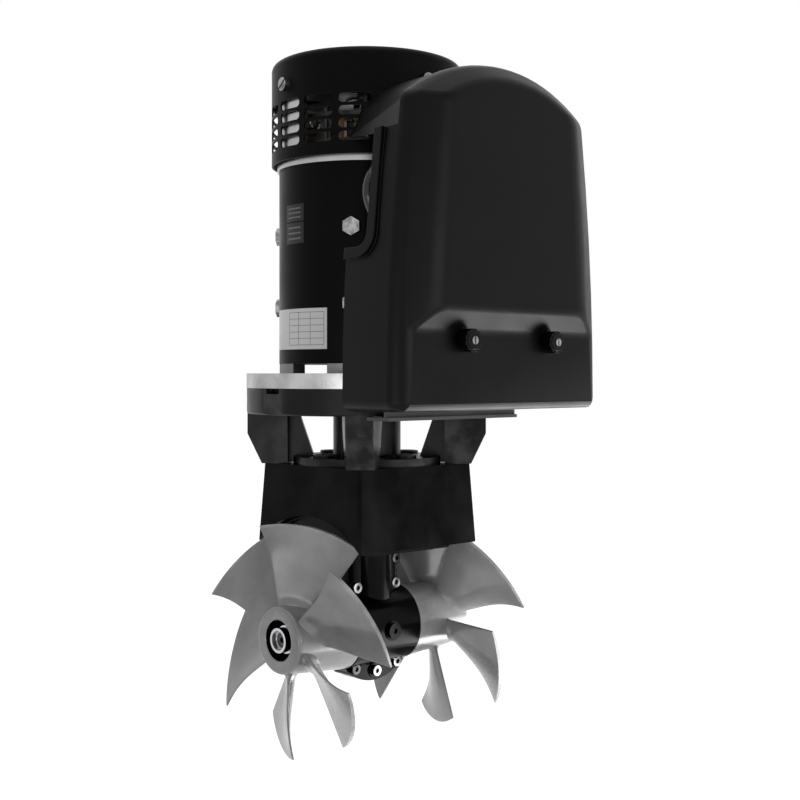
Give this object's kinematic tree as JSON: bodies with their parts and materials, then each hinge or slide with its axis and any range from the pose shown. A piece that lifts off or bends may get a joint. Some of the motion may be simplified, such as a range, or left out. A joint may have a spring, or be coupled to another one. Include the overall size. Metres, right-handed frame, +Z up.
{
  "type": "stern thruster",
  "caption": "Tunnel stern thruster: vertical electric motor on a saddle and gear leg, driving twin same-handed propellers on one shaft through bevel gears, with a front electrical cover.",
  "frame": {"origin": "where the propeller shaft axis crosses the motor axis, in the middle of the tunnel", "axes": "+X along the propeller shaft and the tunnel, -Y to the front of the electrical cover, +Z up along the motor"},
  "size_m": [0.2192, 0.2646, 0.5494],
  "materials": {
    "bearing_steel": "ground",
    "black_casting": "satin black paint",
    "black_moulding": "satin black moulded composite",
    "brass": "bright",
    "bronze": "bright",
    "cable": "glossy sheath",
    "can_metal": "grey enamel",
    "carbon": "carbon",
    "copper": "wound copper",
    "cover_plastic": "fine grained matte black",
    "elastomer": "matt",
    "iron": "laminated",
    "machined": "turned and milled",
    "motor_paint": "semi gloss black paint",
    "phenolic": "pressed board",
    "prop_plastic": "satin grey composite",
    "rubber": "matt",
    "steel": "bright",
    "zinc_plate": "black powder coat"
  },
  "bodies": {
    "frame": {"saddle": "black_moulding", "leg_gasket": "rubber", "gear_leg_front": "black_casting", "gear_leg_back": "black_casting", "gear_leg_screws": "steel", "oil_plug": "steel", "prop_shaft_seals": "rubber", "prop_bearing_outers": "bearing_steel", "prop_bearing_balls": "bearing_steel", "drive_bearing_outers": "bearing_steel", "drive_bearing_balls": "bearing_steel", "drive_shaft_seal": "rubber", "upper_bracket": "black_casting", "leg_bolts": "steel", "leg_bolt_washers": "steel", "motor_plate": "machined", "plate_screws": "steel", "drive_end_shield": "machined", "motor_mount_bolts": "steel", "motor_yoke": "motor_paint", "pole_shoes": "iron", "field_coils": "copper", "pole_bolts": "steel", "brush_end_shield": "machined", "motor_bearing_outers": "bearing_steel", "motor_bearing_balls": "bearing_steel", "brush_carrier": "phenolic", "brush_boxes": "brass", "brushes": "carbon", "brush_springs": "steel", "brush_bus_rings": "steel", "motor_cap": "motor_paint", "cap_screws": "steel", "motor_terminals": "brass", "control_plate": "zinc_plate", "contactor_cans": "can_metal", "contactor_terminals": "brass", "control_box": "black_moulding", "fuse_holder": "phenolic", "motor_leads": "cable", "cover": "cover_plastic", "cover_studs": "steel"},
    "drive": {"motor_shaft": "steel", "armature": "iron", "commutator": "copper", "motor_bearing_inners": "bearing_steel", "coupling_hubs": "can_metal", "coupling_spider": "elastomer", "drive_shaft": "steel", "drive_bearing_inners": "bearing_steel", "drive_pinion": "steel"},
    "props": {"propeller_shaft": "steel", "crown_gear": "bronze", "prop_bearing_inners": "bearing_steel", "propeller_left": "prop_plastic", "propeller_right": "prop_plastic", "propeller_pins": "steel", "propeller_nuts": "steel"},
    "knob_left": {"cover_knob_left": "black_moulding"},
    "knob_right": {"cover_knob_right": "black_moulding"}
  },
  "joints": [
    {"name": "motor_spin", "type": "hinge", "parent": "frame", "child": "drive", "pos_m": [0, 0, 0], "axis": [0, 0, 1], "continuous": true},
    {"name": "propeller_spin", "type": "hinge", "parent": "frame", "child": "props", "pos_m": [0, 0, 0], "axis": [1, 0, 0], "continuous": true},
    {"name": "knob_left_turn", "type": "hinge", "parent": "frame", "child": "knob_left", "pos_m": [-0.0454, -0.16, 0.231], "axis": [0, -1, 0], "continuous": true},
    {"name": "knob_right_turn", "type": "hinge", "parent": "frame", "child": "knob_right", "pos_m": [0.0454, -0.16, 0.231], "axis": [0, -1, 0], "continuous": true}
  ],
  "couplings": [
    {"joint": "propeller_spin", "follows": "motor_spin", "ratio": -0.6}
  ]
}
